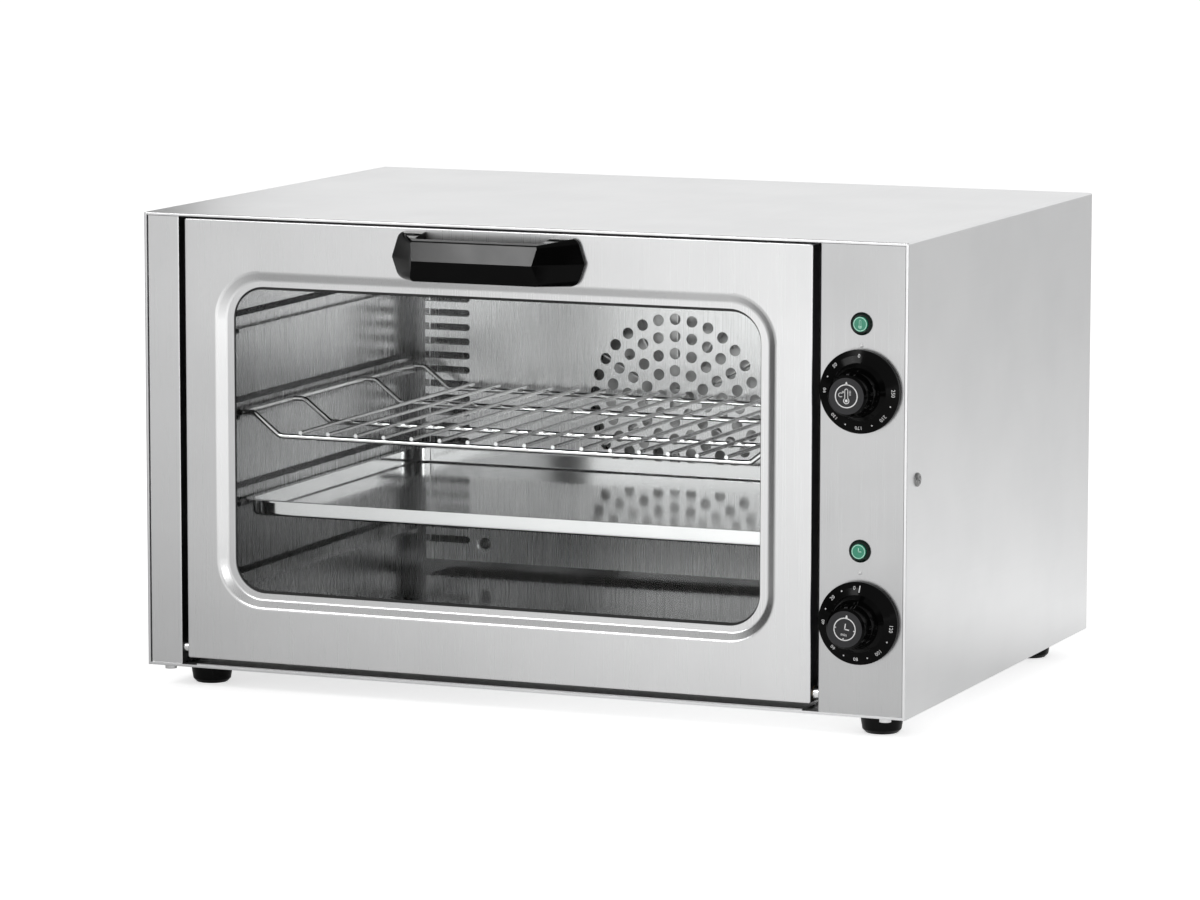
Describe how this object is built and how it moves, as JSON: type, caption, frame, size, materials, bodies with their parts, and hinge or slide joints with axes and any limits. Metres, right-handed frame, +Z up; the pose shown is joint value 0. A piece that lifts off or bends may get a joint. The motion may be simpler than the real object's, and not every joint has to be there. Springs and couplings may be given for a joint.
{
  "type": "convection oven",
  "caption": "Countertop convection oven with drop-down glass door, wire rack, baking tray, rear fan and two rotary controls beside the door.",
  "frame": {"origin": "centre of the bounding box's base, on the plane the feet stand on", "axes": "+X to the right seen from the front, +Y to the rear, +Z up"},
  "size_m": [0.5964, 0.4694, 0.353],
  "materials": {
    "case_steel": "fine brushed stainless sheet",
    "cavity_steel": "bright mill-finish stainless sheet",
    "bright_steel": "bright plated steel",
    "tray_aluminium": "smooth rolled sheet",
    "gloss_black": "glossy moulded plastic",
    "lamp_green": "clear green lens",
    "foot_black": "smooth rubber",
    "seal_black": "silicone seal",
    "clear_glass": "clear toughened glass",
    "fan_aluminium": "plain sheet",
    "heater_sheath": "oxidised heater sheath",
    "motor_paint": "satin paint",
    "mineral_wool": "fibrous wool",
    "grey_plastic": "heat resistant moulding",
    "bush_brass": "turned"
  },
  "bodies": {
    "casing": {"baffle_screws": "bright_steel", "base_pan": "case_steel", "cable_gland": "grey_plastic", "casing_side_screws": "bright_steel", "casing_wrap": "case_steel", "cavity_front_frame": "cavity_steel", "cavity_side_left": "cavity_steel", "cavity_side_right": "cavity_steel", "cavity_wrap": "cavity_steel", "control_panel": "case_steel", "door_gasket": "seal_black", "door_sill": "case_steel", "fan_baffle": "cavity_steel", "fan_motor": "motor_paint", "foot_front_left": "foot_black", "foot_front_right": "foot_black", "foot_rear_left": "foot_black", "foot_rear_right": "foot_black", "foot_screws": "bright_steel", "gland_nut": "grey_plastic", "heating_element": "heater_sheath", "hinge_bracket_left": "cavity_steel", "hinge_bracket_right": "cavity_steel", "hinge_pin_left": "bright_steel", "hinge_pin_right": "bright_steel", "index_pips": "bright_steel", "insulation_floor": "mineral_wool", "insulation_rear": "mineral_wool", "insulation_wrap": "mineral_wool", "lamp_body_thermostat": "gloss_black", "lamp_body_timer": "gloss_black", "lamp_lens_thermostat": "lamp_green", "lamp_lens_timer": "lamp_green", "left_fascia": "case_steel", "lip_screws": "bright_steel", "motor_bracket": "cavity_steel", "motor_end_cap": "motor_paint", "rear_cover": "case_steel", "rear_cover_screws": "bright_steel", "terminal_block": "grey_plastic", "thermostat_body": "grey_plastic", "timer_body": "grey_plastic"},
    "door": {"door_outer_skin": "case_steel", "door_inner_skin": "cavity_steel", "door_outer_glass": "clear_glass", "door_inner_glass": "clear_glass", "door_glass_seal": "seal_black", "door_glass_spacer": "cavity_steel", "door_handle": "gloss_black", "handle_screws": "bright_steel", "hinge_bush_left": "bush_brass", "hinge_bush_right": "bush_brass"},
    "fan": {"fan_wheel": "fan_aluminium", "motor_shaft": "bright_steel"},
    "thermostat_control": {"knob_thermostat": "gloss_black", "thermostat_shaft": "bright_steel"},
    "timer_control": {"knob_timer": "gloss_black", "timer_shaft": "bright_steel"},
    "rack": {"wire_rack": "bright_steel"},
    "tray": {"baking_tray": "tray_aluminium"}
  },
  "joints": [
    {"name": "door_hinge", "type": "hinge", "parent": "casing", "child": "door", "pos_m": [-0.01885, -0.1937, 0.031], "axis": [1, 0, 0], "range_deg": [0, 85]},
    {"name": "fan_spin", "type": "hinge", "parent": "casing", "child": "fan", "pos_m": [-0.01885, 0.1743, 0.182], "axis": [0, 1, 0], "continuous": true},
    {"name": "thermostat_turn", "type": "hinge", "parent": "casing", "child": "thermostat_control", "pos_m": [0.2616, -0.2017, 0.248], "axis": [0, 1, 0], "range_deg": [0, 270]},
    {"name": "timer_turn", "type": "hinge", "parent": "casing", "child": "timer_control", "pos_m": [0.2616, -0.2017, 0.0845], "axis": [0, 1, 0], "range_deg": [0, 260]},
    {"name": "rack_slide", "type": "slide", "parent": "casing", "child": "rack", "axis": [0, -1, 0], "range_m": [0, 0.15]},
    {"name": "tray_slide", "type": "slide", "parent": "casing", "child": "tray", "axis": [0, -1, 0], "range_m": [0, 0.1]}
  ],
  "couplings": [
    {"joint": "rack_slide", "follows": "door_hinge", "m_per_rad": 0.1011},
    {"joint": "tray_slide", "follows": "door_hinge", "m_per_rad": 0.0674}
  ]
}
